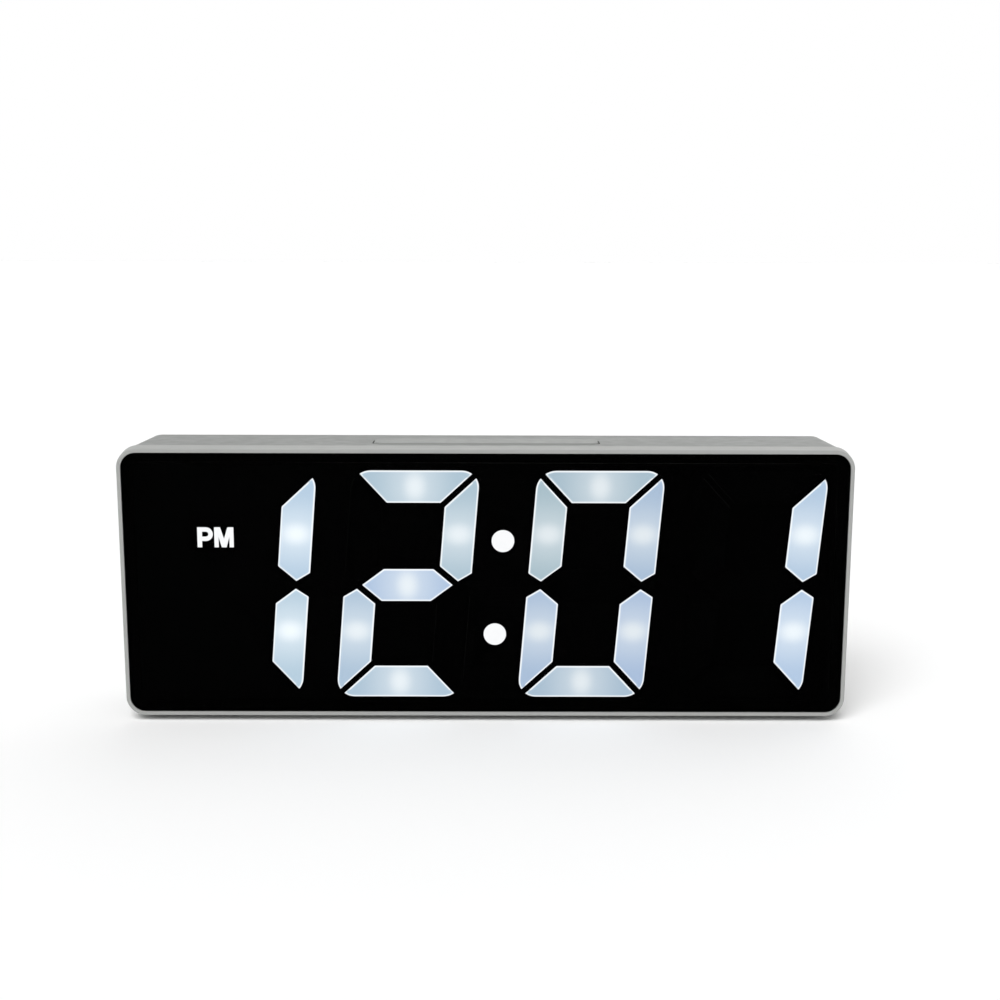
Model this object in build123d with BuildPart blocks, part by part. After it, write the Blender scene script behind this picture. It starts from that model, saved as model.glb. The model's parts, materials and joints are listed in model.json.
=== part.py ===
from build123d import *
import os
from math import asin, atan, cos, degrees, radians, sin, sqrt, tan

# A free-standing LED desk clock. X runs to the right, Y to the rear, Z up, in millimetres.
# The origin is on the table, under the middle of the clock. "Depth" is measured back from the front rim.

# Lens and case
LENS_W = 157.2
LENS_H = 57.7
LENS_R = 3.2
LENS_T = 1.3
LENS_SINK = 0.2
LENS_GAP = 0.15
LENS_EDGE = 0.2
TAPE_T = 0.2
TAPE_GAP = 0.1
RIM = 1.4
RIM_LEAN = 0.4
RIM_EDGE_R = 0.25
RING_DEPTH = 3.5
CASE_DEPTH = 28.0
SHELL_STEP = 0.25
SHELL_DRAFT = 0.36
WALL = 1.9
SEAM_BREAK = 0.25
COVER_T = 3.0
COVER_RIM = 4.0
COVER_EDGE_R = 3.0
LEAST_R = 0.3

# Joints between bezel, shell and rear cover
FIT = 0.15
SKIRT_T = 0.8
LIP_T = 1.2
LIP_L = 2.3
NIB_R = 0.5
NIB_L = 8.0
NIB_GAP = 0.1
NIB_IN = 28.6
BOSS_D = 6.4
BOSS_IN = 7.1
BOSS_SET = 2.6
RIB_T = 1.4
RIB_BITE = 0.6
SCREW_D = 2.2
SCREW_L = 8.0
SCREW_HEAD_D = 4.6
SCREW_HEAD_T = 1.8
SCREW_FIT = 0.05
SCREW_PLAY = 0.2
SCREW_SINK = 2.6
DRIVE_L = 2.6
DRIVE_W = 0.6
DRIVE_DEPTH = 0.8

# Seven-segment digits, slanted, on the face's own X and Z
DIGIT_R = 4.1
STROKE = 7.15
MID_STROKE = 7.25
SEG_GAP = 1.3
KNEE = 2.9
KNEE_IN = 38.5
KNEE_OUT = 32.0
SLANT = 4.7
LEFT_MARGIN = 12.0
RIGHT_MARGIN = 6.15
TOP_MARGIN = 3.8
LOW_MARGIN = 2.9
DIGIT_GAP = 7.6
COLON_GAP = 12.4
DOT_D = 5.0
DOT_IN_TOP = 15.6
DOT_IN_LOW = 14.4
PM_IN = 7.4
PM_DROP = 14.9
PM_W = 9.6
PM_H = 6.2

# Display stack behind the lens
MASK_T = 0.4
MASK_GAP = 0.2
REFLECTOR_GAP = 0.2
DIFFUSER_T = 1.4
DIFFUSER_FIT = 0.05
CELL_LEDGE = 0.6
FUNNEL_IN = 0.62
LED_W = 2.0
LED_H = 1.25
LED_T = 0.8
BOARD_T = 1.6
BOARD_GAP = 0.3
BOARD_SCREW_D = 2.0
BOARD_SCREW_SKIN = 1.2
BOARD_HEAD_D = 4.0
BOARD_HEAD_T = 1.3

# Parts on the back of the display board
CHIP_W = 18.0
CHIP_H = 7.5
CHIP_T = 2.3
CHIP_Z = 4.0
CHIP_PINS = 14
CHIP_PITCH = 1.27
CHIP_PIN_W = 0.45
CHIP_PIN_L = 1.4
CHIP_PIN_T = 0.9
CRYSTAL_D = 2.0
CRYSTAL_L = 6.0
CRYSTAL_IN = 9.0
CRYSTAL_Z = 12.5
CAPACITOR_D = 5.0
CAPACITOR_L = 5.0
CAPACITOR_X = 8.0
CAPACITOR_Z = -16.0
CAPACITOR_GROOVE = 0.4
RESISTOR_W = 2.0
RESISTOR_H = 1.25
RESISTOR_T = 0.55
RESISTOR_PITCH = 3.0
RESISTOR_COUNT = 8
RESISTOR_Z = -9.0
HEADER_W = 2.5
HEADER_H = 20.3
HEADER_IN = 3.5

# Snooze bar and its switch
SNOOZE_L = 50.0
SNOOZE_W = 8.2
SNOOZE_R = 2.4
SNOOZE_FORWARD = 1.85
SNOOZE_PROUD = 0.25
SNOOZE_CAP_T = 1.9
SNOOZE_EDGE_R = 0.5
SNOOZE_TRAVEL = 0.6
SNOOZE_FLANGE_T = 1.0
SNOOZE_FLANGE_OUT = 1.5
SNOOZE_POST = 3.0
SNOOZE_POST_T = 1.4
SNOOZE_SWITCH_W = 6.0
SNOOZE_SWITCH_H = 6.0
SNOOZE_SWITCH_T = 2.3
SNOOZE_DROP = 6.1
SNOOZE_PLUNGER_D = 1.4

# Rear keys, their switches and board
KEY_GAP = 0.25
KEY_REST_GAP = 0.1
KEY_PROUD = 0.9
KEY_D = 7.0
KEY_EDGE_R = 0.7
KEY_FLANGE_OUT = 1.1
KEY_FLANGE_T = 1.0
KEY_STEM_D = 3.0
KEY_STEM_L = 1.2
KEY_TRAVEL = 0.5
KEY_PITCH = 12.0
KEY_Z = 7.5
SWITCH_W = 6.0
SWITCH_T = 3.4
PLUNGER_D = 3.4
PLUNGER_OUT = 0.9
PLUNGER_IN = 1.0
PLUNGER_FIT = 0.1
KEY_BOARD_W = 47.0
KEY_BOARD_H = 36.0
KEY_BOARD_GAP = 0.8
POST_D = 5.0
POST_IN = 3.5
KEY_SCREW_D = 1.8
KEY_SCREW_L = 5.0
KEY_HEAD_D = 3.6
KEY_HEAD_T = 1.2

# Power inlet and sounder on the key board
USB_W = 7.6
USB_H = 2.8
USB_R = 0.9
USB_WALL = 0.3
USB_SINK = 0.8
USB_GAP = 0.4
USB_IN = 9.5
USB_Z = -10.0
USB_BASE_T = 1.6
USB_TONGUE_W = 5.2
USB_TONGUE_T = 0.7
USB_TONGUE_SINK = 1.0
BUZZER_D = 12.0
BUZZER_T = 5.4
BUZZER_IN = 19.5
BUZZER_Z = -8.0
BUZZER_HOLE_D = 2.0
BUZZER_HOLE_DEPTH = 1.0
SOUND_SLOTS = 5
SOUND_SLOT_W = 1.2
SOUND_SLOT_L = 9.0
SOUND_PITCH = 2.4

# Battery bay, cells, contacts and door
CELL_D = 10.5
CELL_L = 44.5
CELL_NUB_D = 3.8
CELL_NUB_L = 1.2
CELL_EDGE_R = 0.5
CELL_SPACE = 0.7
CELL_PLAY = 0.1
CELL_COUNT = 3
BAY_GAP = 2.5
BAY_CLEAR = 2.5
BAY_MARGIN = 0.4
BAY_WALL = 1.2
BAY_ROOM = 0.5
CONTACT_T = 0.4
CONTACT_W = 8.0
LEAF_W = 5.0
LEAF_REACH = 4.9
LEAF_BASE = 3.5
LEAF_BACK = 1.6
DOOR_T = 2.0
DOOR_LAP = 2.0
DOOR_GAP = 0.25
DOOR_SEAT_GAP = 0.1
DOOR_R = 1.5
DOOR_GRIPS = 5
DOOR_GRIP_PITCH = 1.6
DOOR_GRIP_R = 0.35
DOOR_GRIP_L = 16.0
PIN_R = 0.55
PIN_OUT = 1.6
PIN_FIT = 0.05
PIN_END = 0.3
NOTCH_R = 7.0
NOTCH_DEPTH = 1.6
LEAD_D = 1.2
LEAD_BEND = 2.0
LEAD_HOLE_GAP = 0.15
LEAD_OUT = 3.0
LEAD_PAD_IN = 1.5

# Feet
FOOT_D = 6.0
FOOT_GAP = 0.2
FOOT_MARGIN = 0.4
FOOT_PROUD = 0.9
FOOT_HOLD = 0.6
FOOT_EDGE_R = 0.3
FOOT_IN = 16.6

# Worked out from the above
CASE_H = LENS_H + 2 * RIM
FACE_Z = FOOT_PROUD + CASE_H / 2
FRONT_Y = -(CASE_DEPTH + KEY_PROUD) / 2
LENS_BACK = LENS_SINK + LENS_T
LEDGE_DEPTH = LENS_BACK + TAPE_T
MASK_BACK = LENS_BACK + MASK_T
COVER_FRONT = CASE_DEPTH - COVER_RIM
COVER_IN = CASE_DEPTH - COVER_T

# Depths from the rear: door, cells, the bay's floor, the display board; the reflector takes the rest
DOOR_SEAT = CASE_DEPTH - DOOR_T - DOOR_SEAT_GAP
BAY_FLOOR = DOOR_SEAT - CELL_D - BAY_ROOM
CELL_DEPTH = BAY_FLOOR + CELL_D / 2 + CELL_PLAY
BOARD_BACK = BAY_FLOOR - BAY_WALL - BAY_CLEAR
BOARD_FRONT = BOARD_BACK - BOARD_T
REFLECTOR_T = BOARD_FRONT - MASK_BACK
FUNNEL_TAPER = degrees(atan(FUNNEL_IN / REFLECTOR_T))
BOARD_SCREW_L = REFLECTOR_T - BOARD_SCREW_SKIN
NIB_DEPTH = (RING_DEPTH + BOARD_FRONT) / 2
BOSS_END = COVER_IN - BOSS_SET
SNOOZE_DEPTH = (RING_DEPTH + COVER_FRONT) / 2 - SNOOZE_FORWARD

# Margins of the case's outlines, measured outwards from the lens
SHELL_FRONT = RIM - SHELL_STEP
SHELL_REAR = SHELL_FRONT - SHELL_DRAFT
SHELL_IN = SHELL_REAR - WALL
SKIRT_OUT = SHELL_IN - FIT
WINDOW = SKIRT_OUT - SKIRT_T
IN_HALF_W = LENS_W / 2 + SHELL_IN
IN_HALF_H = LENS_H / 2 + SHELL_IN
NIB_X = LENS_W / 2 - NIB_IN
BOSS_X = LENS_W / 2 - BOSS_IN
BOSS_Z = LENS_H / 2 - BOSS_IN
FOOT_X = LENS_W / 2 - FOOT_IN
FOOT_FRONT = RING_DEPTH + FOOT_D / 2 + FOOT_GAP + FOOT_MARGIN
FOOT_REAR = COVER_FRONT - FOOT_D / 2 - FOOT_GAP - FOOT_MARGIN

# Digits fill the lens between its margins
DIGIT_W = (LENS_W - LEFT_MARGIN - RIGHT_MARGIN - 2 * DIGIT_GAP - COLON_GAP) / 4
DIGIT_H = LENS_H - TOP_MARGIN - LOW_MARGIN
HALF_W = DIGIT_W / 2
HALF_H = DIGIT_H / 2
MITRE = SEG_GAP / sqrt(2)
TIP_TURN = degrees(asin(SEG_GAP / 2 / DIGIT_R))
KNEE_Z = SEG_GAP / 2 / cos(radians(KNEE_IN))
DISPLAY_SHIFT = (LEFT_MARGIN - RIGHT_MARGIN) / 2
DISPLAY_DROP = (TOP_MARGIN - LOW_MARGIN) / 2
HOUR_UNITS_X = DISPLAY_SHIFT - (COLON_GAP + DIGIT_W) / 2
MINUTE_TENS_X = DISPLAY_SHIFT + (COLON_GAP + DIGIT_W) / 2
HOUR_TENS_X = HOUR_UNITS_X - DIGIT_W - DIGIT_GAP
MINUTE_UNITS_X = MINUTE_TENS_X + DIGIT_W + DIGIT_GAP
DOT_UP = HALF_H - DOT_IN_TOP
DOT_DOWN = HALF_H - DOT_IN_LOW
PM_X = HOUR_TENS_X - HALF_W + PM_IN
PM_Z = HALF_H - PM_DROP - DISPLAY_DROP

# The key board stands beside the right-hand bosses, one key and switch in front of the cover
KEY_FLANGE_BACK = COVER_IN - KEY_REST_GAP
KEY_FLANGE_D = KEY_D + 2 * KEY_FLANGE_OUT
PLUNGER_TOP = KEY_FLANGE_BACK - KEY_FLANGE_T - KEY_STEM_L
SWITCH_TOP = PLUNGER_TOP - PLUNGER_OUT
KEY_BOARD_BACK = SWITCH_TOP - SWITCH_T
KEY_BOARD_FRONT = KEY_BOARD_BACK - BOARD_T
KEY_BOARD_RIGHT = BOSS_X - BOSS_D / 2 - KEY_BOARD_GAP
KEY_BOARD_LEFT = KEY_BOARD_RIGHT - KEY_BOARD_W
KEY_X = (KEY_BOARD_LEFT + KEY_BOARD_RIGHT) / 2
USB_X = KEY_BOARD_RIGHT - USB_IN
BUZZER_X = KEY_BOARD_LEFT + BUZZER_IN
HEADER_X = KEY_BOARD_LEFT + HEADER_IN
CRYSTAL_X = KEY_BOARD_LEFT + CRYSTAL_IN
KEY_NAMES = ("set", "up", "down", "alarm")
KEY_XS = [KEY_X + KEY_PITCH * (n - (len(KEY_NAMES) - 1) / 2) for n in range(len(KEY_NAMES))]
POST_X = KEY_BOARD_W / 2 - POST_IN
POST_Z = KEY_BOARD_H / 2 - POST_IN

CELL_PITCH = CELL_D + CELL_SPACE
BAY_H = CELL_COUNT * CELL_PITCH + 2 * BAY_MARGIN
BAY_L = CELL_L + 2 * CELL_PLAY + CONTACT_T + LEAF_REACH
DOOR_L = BAY_L + 2 * DOOR_LAP
BAY_X = DOOR_L / 2 + PIN_OUT + PIN_END + BAY_GAP + BOSS_D / 2 - BOSS_X
DOOR_H = BAY_H + 2 * DOOR_LAP
HINGE_Y = FRONT_Y + CASE_DEPTH - DOOR_T / 2
HINGE_Z = FACE_Z - DOOR_H / 2 + DOOR_T / 2
DOOR_TOP = DOOR_H / 2
LEAD_DEPTH = KEY_BOARD_BACK + LEAD_D / 2
LEAD_PAD_X = KEY_BOARD_LEFT + LEAD_PAD_IN

os.makedirs("parts", exist_ok=True)


def save(builder, label):
    """Label one finished piece and write it under its own name."""
    builder.part.label = label
    export_step(builder.part, f"parts/{label}.step")


def front_plane(depth):
    """Upright plane that faces the viewer, a depth behind the rim and centred on the lens."""
    return Plane(origin=(0, FRONT_Y + depth, FACE_Z), x_dir=(1, 0, 0), z_dir=(0, -1, 0))


def outline(margin, mode=Mode.ADD):
    """The lens's rounded outline, grown by a margin on every side."""
    RectangleRounded(LENS_W + 2 * margin, LENS_H + 2 * margin, max(LENS_R + margin, LEAST_R), mode=mode)


def spot(centre, x, z):
    """A point of the digit or colon at a centre, slanted and lowered to the display's middle."""
    return (centre + x + z * tan(radians(SLANT)), z - DISPLAY_DROP)


def corner(angle):
    """A point on an upright digit's round corner, by its angle from the X axis."""
    x = HALF_W - DIGIT_R + DIGIT_R * cos(radians(angle))
    z = HALF_H - DIGIT_R + DIGIT_R * sin(radians(angle))
    return (x, z)


def end_bar(centre, up):
    """Top (up = 1) or bottom (up = -1) segment: mitred ends under the digit's round corners."""
    def at(x, z):
        return spot(centre, x, up * z)

    tip = corner(45 + TIP_TURN)
    round_mid = corner((135 + TIP_TURN) / 2)
    top = corner(90)
    inner = HALF_W - STROKE - MITRE
    inner_z = HALF_H - STROKE
    with BuildLine() as edge:
        Polyline(at(-tip[0], tip[1]), at(-inner, inner_z), at(inner, inner_z), at(*tip))
        ThreePointArc(at(*tip), at(*round_mid), at(*top))
        Line(at(*top), at(-top[0], top[1]))
        ThreePointArc(at(-top[0], top[1]), at(-round_mid[0], round_mid[1]), at(-tip[0], tip[1]))
    make_face(edge.edges())


def upright(centre, right, up):
    """One of the four upright segments: mitred at the digit's corner, pointed at its waist."""
    def at(x, z):
        return spot(centre, right * x, up * z)

    tip = corner(45 - TIP_TURN)
    round_mid = corner((45 - TIP_TURN) / 2)
    side = corner(0)
    inner = HALF_W - STROKE
    with BuildLine() as edge:
        Polyline(
            at(*side),
            at(HALF_W, KNEE_Z + KNEE * tan(radians(KNEE_OUT))),
            at(HALF_W - KNEE, KNEE_Z),
            at(inner, KNEE_Z + (STROKE - KNEE) * tan(radians(KNEE_IN))),
            at(inner, HALF_H - STROKE - MITRE),
            at(*tip),
        )
        ThreePointArc(at(*tip), at(*round_mid), at(*side))
    make_face(edge.edges())


def middle_bar(centre):
    """The middle segment: a bar with pointed ends that follow the uprights' waists."""
    tip = HALF_W - KNEE - KNEE_Z / tan(radians(KNEE_IN))
    flat = tip - MID_STROKE / 2 / tan(radians(KNEE_IN))
    half = MID_STROKE / 2
    corners = [(tip, 0), (flat, half), (-flat, half), (-tip, 0), (-flat, -half), (flat, -half)]
    with BuildLine() as edge:
        Polyline(*[spot(centre, x, z) for x, z in corners], close=True)
    make_face(edge.edges())


def draw_digit(centre, whole=True):
    """The windows of one digit. The hours' tens digit only ever shows a 1, so it isn't whole."""
    for up in (1, -1):
        upright(centre, 1, up)
        if whole:
            upright(centre, -1, up)
            end_bar(centre, up)
    if whole:
        middle_bar(centre)


def draw_dots():
    """The two round dots of the colon, in line with the slant."""
    for z in (DOT_UP, -DOT_DOWN):
        with Locations(spot(DISPLAY_SHIFT, 0, z)):
            Circle(DOT_D / 2)


def draw_indicator():
    """The small window at the left that says afternoon."""
    with Locations((PM_X, PM_Z)):
        Rectangle(PM_W, PM_H)


def draw_windows():
    """Every window of the display."""
    draw_digit(HOUR_TENS_X, whole=False)
    draw_digit(HOUR_UNITS_X)
    draw_digit(MINUTE_TENS_X)
    draw_digit(MINUTE_UNITS_X)
    draw_dots()
    draw_indicator()


def lamp_places():
    """The middle of each window, where its lamp sits."""
    side = HALF_W - STROKE / 2
    bar = HALF_H - STROKE / 2
    places = [(PM_X, PM_Z)]
    for z in (DOT_UP, -DOT_DOWN):
        places.append(spot(DISPLAY_SHIFT, 0, z))
    for centre in (HOUR_TENS_X, HOUR_UNITS_X, MINUTE_TENS_X, MINUTE_UNITS_X):
        spots = [(side, HALF_H / 2), (side, -HALF_H / 2)]
        if centre != HOUR_TENS_X:
            spots += [(-side, HALF_H / 2), (-side, -HALF_H / 2), (0, bar), (0, 0), (0, -bar)]
        places += [spot(centre, x, z) for x, z in spots]
    return places


def board_screw_places():
    """Screws that hold the reflector to the display board, in the dark gaps between digits."""
    last_gap = (MINUTE_TENS_X + MINUTE_UNITS_X) / 2
    left = HOUR_TENS_X - HALF_W - SEG_GAP
    high = HALF_H - STROKE
    return [
        (left, HALF_H / 2 - STROKE / 2),
        (left, -HALF_H / 2),
        spot(DISPLAY_SHIFT, 0, 0),
        spot(DISPLAY_SHIFT, 0, -high),
        spot(last_gap, 0, high),
        spot(last_gap, 0, -high),
    ]


BOSS_PLACES = [(x, z) for x in (-BOSS_X, BOSS_X) for z in (-BOSS_Z, BOSS_Z)]
POST_PLACES = [(KEY_X + x, z) for x in (-POST_X, POST_X) for z in (-POST_Z, POST_Z)]
CELL_ZS = [CELL_PITCH * (n - (CELL_COUNT - 1) / 2) for n in range(CELL_COUNT)]
CELL_TURNS = [1 if n % 2 == 0 else -1 for n in range(CELL_COUNT)]

# Front bezel: a ring that leans out towards the rear, a ledge for the lens and a skirt with snap nibs
with BuildPart() as front_bezel:
    with BuildSketch(front_plane(RING_DEPTH)):
        outline(RIM)
    with BuildSketch(front_plane(0)):
        outline(RIM - RIM_LEAN)
    loft(ruled=True)
    fillet(front_bezel.faces().sort_by(Axis.Y)[0].edges(), RIM_EDGE_R)
    chamfer(front_bezel.faces().sort_by(Axis.Y)[-1].edges(), SEAM_BREAK)
    with BuildSketch(front_plane(0)):
        outline(LENS_GAP)
    extrude(amount=-LEDGE_DEPTH, mode=Mode.SUBTRACT)
    with BuildSketch(front_plane(RING_DEPTH)):
        outline(SKIRT_OUT)
    extrude(amount=-(BOARD_FRONT - RING_DEPTH))
    for x in (-NIB_X, NIB_X):
        with BuildSketch(Plane.YZ.offset(x - NIB_L / 2)):
            for z in (-LENS_H / 2 - SKIRT_OUT, LENS_H / 2 + SKIRT_OUT):
                with Locations((FRONT_Y + NIB_DEPTH, FACE_Z + z)):
                    Circle(NIB_R)
        extrude(amount=NIB_L)
    with BuildSketch(front_plane(0)):
        outline(WINDOW)
    extrude(amount=-BOARD_FRONT, mode=Mode.SUBTRACT)
save(front_bezel, "front_bezel")

# Front lens: a smoked acrylic plate with a broken front edge
with BuildPart() as front_lens:
    with BuildSketch(front_plane(LENS_SINK)):
        outline(0)
    extrude(amount=-LENS_T)
    chamfer(front_lens.faces().sort_by(Axis.Y)[0].edges(), LENS_EDGE)
save(front_lens, "front_lens")

# Tape that holds the lens on the bezel's ledge
with BuildPart() as lens_tape:
    with BuildSketch(front_plane(LENS_BACK)):
        outline(-TAPE_GAP)
        outline(WINDOW + TAPE_GAP, mode=Mode.SUBTRACT)
    extrude(amount=-TAPE_T)
save(lens_tape, "lens_tape")

# Segment mask: a thin black plate with a window for each segment
with BuildPart() as segment_mask:
    with BuildSketch(front_plane(LENS_BACK)):
        outline(WINDOW - MASK_GAP)
        with BuildSketch(mode=Mode.SUBTRACT):
            draw_windows()
    extrude(amount=-MASK_T)
save(segment_mask, "segment_mask")

# Reflector: a block with a seat for each diffuser and a funnel from the seat down to its lamp
with BuildPart() as reflector:
    with BuildSketch(front_plane(MASK_BACK)):
        outline(WINDOW - REFLECTOR_GAP)
    extrude(amount=-REFLECTOR_T)
    with BuildSketch(front_plane(MASK_BACK)):
        draw_windows()
    extrude(amount=-(DIFFUSER_T - MASK_T), mode=Mode.SUBTRACT)
    with BuildSketch(front_plane(MASK_BACK)):
        draw_windows()
        offset(amount=-CELL_LEDGE, kind=Kind.INTERSECTION)
    extrude(amount=-REFLECTOR_T, taper=FUNNEL_TAPER, mode=Mode.SUBTRACT)
    with BuildSketch(front_plane(BOARD_FRONT)):
        with Locations(*board_screw_places()):
            Circle(BOARD_SCREW_D / 2 + SCREW_FIT)
    extrude(amount=BOARD_SCREW_L, mode=Mode.SUBTRACT)
save(reflector, "reflector")


def segment_set(label, draw):
    """The milky diffusers of one digit, or of the colon, each filling its window and its seat."""
    with BuildPart() as diffusers:
        with BuildSketch(front_plane(LENS_BACK)):
            draw()
            offset(amount=-DIFFUSER_FIT, kind=Kind.INTERSECTION)
        extrude(amount=-DIFFUSER_T)
    save(diffusers, label)


segment_set("hour_tens_segments", lambda: draw_digit(HOUR_TENS_X, whole=False))
segment_set("hour_units_segments", lambda: draw_digit(HOUR_UNITS_X))
segment_set("minute_tens_segments", lambda: draw_digit(MINUTE_TENS_X))
segment_set("minute_units_segments", lambda: draw_digit(MINUTE_UNITS_X))
segment_set("colon_dots", draw_dots)
segment_set("pm_window", draw_indicator)

# Display board: carries the lamps in front and the clock's electronics behind
with BuildPart() as display_board:
    with BuildSketch(front_plane(BOARD_FRONT)):
        outline(SHELL_IN - BOARD_GAP)
        with Locations(*board_screw_places()):
            Circle(BOARD_SCREW_D / 2 + SCREW_PLAY, mode=Mode.SUBTRACT)
    extrude(amount=-BOARD_T)
save(display_board, "display_board")

# Lamps: one in the middle of each window
with BuildPart() as segment_lamps:
    with BuildSketch(front_plane(BOARD_FRONT)):
        with Locations(*lamp_places()):
            Rectangle(LED_W, LED_H)
    extrude(amount=LED_T)
save(segment_lamps, "segment_lamps")

# Screws from the back of the display board into the reflector
with BuildPart() as board_screws:
    with BuildSketch(front_plane(BOARD_BACK)):
        with Locations(*board_screw_places()):
            Circle(BOARD_SCREW_D / 2)
    extrude(amount=BOARD_T + BOARD_SCREW_L)
    with BuildSketch(front_plane(BOARD_BACK)):
        with Locations(*board_screw_places()):
            Circle(BOARD_HEAD_D / 2)
    extrude(amount=-BOARD_HEAD_T)
save(board_screws, "board_screws")

# Clock chip: a flat package with a row of legs along each long side
with BuildPart() as clock_chip:
    with BuildSketch(front_plane(BOARD_BACK)):
        with Locations((KEY_X, CHIP_Z)):
            Rectangle(CHIP_W, CHIP_H)
    extrude(amount=-CHIP_T)
    with BuildSketch(front_plane(BOARD_BACK)):
        with Locations((KEY_X, CHIP_Z)):
            with GridLocations(CHIP_PITCH, CHIP_H + CHIP_PIN_L, CHIP_PINS, 2):
                Rectangle(CHIP_PIN_W, CHIP_PIN_L)
    extrude(amount=-CHIP_PIN_T)
save(clock_chip, "clock_chip")

# Crystal: a small can lying on the board
with BuildPart() as crystal:
    with BuildSketch(Plane.YZ.offset(CRYSTAL_X - CRYSTAL_L / 2)):
        with Locations((FRONT_Y + BOARD_BACK + CRYSTAL_D / 2, FACE_Z + CRYSTAL_Z)):
            Circle(CRYSTAL_D / 2)
    extrude(amount=CRYSTAL_L)
save(crystal, "crystal")

# Capacitor: a can standing on the board, with the groove near its foot
with BuildPart() as capacitor:
    with BuildSketch(Plane.XY.offset(FACE_Z + CAPACITOR_Z)):
        with BuildLine():
            foot = FRONT_Y + BOARD_BACK
            middle = KEY_X + CAPACITOR_X
            edge = middle + CAPACITOR_D / 2
            Polyline(
                (edge, foot + 2 * CAPACITOR_GROOVE),
                (edge, foot),
                (middle, foot),
                (middle, foot + CAPACITOR_L),
                (edge, foot + CAPACITOR_L),
                (edge, foot + 4 * CAPACITOR_GROOVE),
            )
            ThreePointArc(
                (edge, foot + 4 * CAPACITOR_GROOVE),
                (edge - CAPACITOR_GROOVE, foot + 3 * CAPACITOR_GROOVE),
                (edge, foot + 2 * CAPACITOR_GROOVE),
            )
        make_face()
    revolve(axis=Axis((middle, 0, FACE_Z + CAPACITOR_Z), (0, 1, 0)))
save(capacitor, "capacitor")

# Chip resistors: one for each of the seven segment lines and one for the dots
with BuildPart() as chip_resistors:
    with BuildSketch(front_plane(BOARD_BACK)):
        with Locations((KEY_X, RESISTOR_Z)):
            with GridLocations(RESISTOR_PITCH, 1, RESISTOR_COUNT, 1):
                Rectangle(RESISTOR_H, RESISTOR_W)
    extrude(amount=-RESISTOR_T)
save(chip_resistors, "chip_resistors")

# Header: the strip that joins the two boards
with BuildPart() as board_header:
    with BuildSketch(front_plane(BOARD_BACK)):
        with Locations((HEADER_X, 0)):
            Rectangle(HEADER_W, HEADER_H)
    extrude(amount=-(KEY_BOARD_FRONT - BOARD_BACK))
save(board_header, "board_header")

# Main shell: a tapered tube with a slot for the snooze bar, corner bosses and pockets for nibs and feet
BOSS_L = BOSS_END - BOARD_BACK
SNOOZE_Y = FRONT_Y + SNOOZE_DEPTH
FOOT_TOP = FOOT_PROUD + SHELL_STEP + SHELL_DRAFT + FOOT_HOLD
FOOT_PLACES = [(x, FRONT_Y + depth) for x in (-FOOT_X, FOOT_X) for depth in (FOOT_FRONT, FOOT_REAR)]

with BuildPart() as main_shell:
    with BuildSketch(front_plane(RING_DEPTH)):
        outline(SHELL_FRONT)
    with BuildSketch(front_plane(COVER_FRONT)):
        outline(SHELL_REAR)
    loft(ruled=True)
    chamfer(main_shell.faces().sort_by(Axis.Y)[0].edges(), SEAM_BREAK)
    with BuildSketch(front_plane(RING_DEPTH)):
        outline(SHELL_IN)
    extrude(amount=-(COVER_FRONT - RING_DEPTH), mode=Mode.SUBTRACT)
    for x in (-NIB_X, NIB_X):
        with BuildSketch(Plane.YZ.offset(x - NIB_L / 2 - NIB_GAP)):
            for z in (-LENS_H / 2 - SKIRT_OUT, LENS_H / 2 + SKIRT_OUT):
                with Locations((FRONT_Y + NIB_DEPTH, FACE_Z + z)):
                    Circle(NIB_R + NIB_GAP)
        extrude(amount=NIB_L + 2 * NIB_GAP, mode=Mode.SUBTRACT)
    with BuildSketch(front_plane(BOARD_BACK)):
        with Locations(*BOSS_PLACES):
            Circle(BOSS_D / 2)
        reach_x = IN_HALF_W - BOSS_X + RIB_BITE
        reach_z = IN_HALF_H - BOSS_Z + RIB_BITE
        with GridLocations(2 * BOSS_X + reach_x, 2 * BOSS_Z, 2, 2):
            Rectangle(reach_x, RIB_T)
        with GridLocations(2 * BOSS_X, 2 * BOSS_Z + reach_z, 2, 2):
            Rectangle(RIB_T, reach_z)
    extrude(amount=-BOSS_L)
    with BuildSketch(front_plane(BOSS_END)):
        with Locations(*BOSS_PLACES):
            Circle(SCREW_D / 2 + SCREW_FIT)
    extrude(amount=SCREW_L + SCREW_PLAY, mode=Mode.SUBTRACT)
    with BuildSketch(Plane.XY.offset(FACE_Z)):
        with Locations((0, SNOOZE_Y)):
            RectangleRounded(SNOOZE_L + 2 * KEY_GAP, SNOOZE_W + 2 * KEY_GAP, SNOOZE_R + KEY_GAP)
    extrude(amount=CASE_H, mode=Mode.SUBTRACT)
    with BuildSketch(Plane.XY):
        with Locations(*FOOT_PLACES):
            Circle(FOOT_D / 2 + FOOT_GAP)
    extrude(amount=FOOT_TOP, mode=Mode.SUBTRACT)
save(main_shell, "main_shell")

# Rubber feet in their pockets
with BuildPart() as rubber_feet:
    with BuildSketch(Plane.XY):
        with Locations(*FOOT_PLACES):
            Circle(FOOT_D / 2)
    extrude(amount=FOOT_TOP)
    fillet(rubber_feet.faces().group_by(Axis.Z)[0].edges(), FOOT_EDGE_R)
save(rubber_feet, "rubber_feet")

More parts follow.
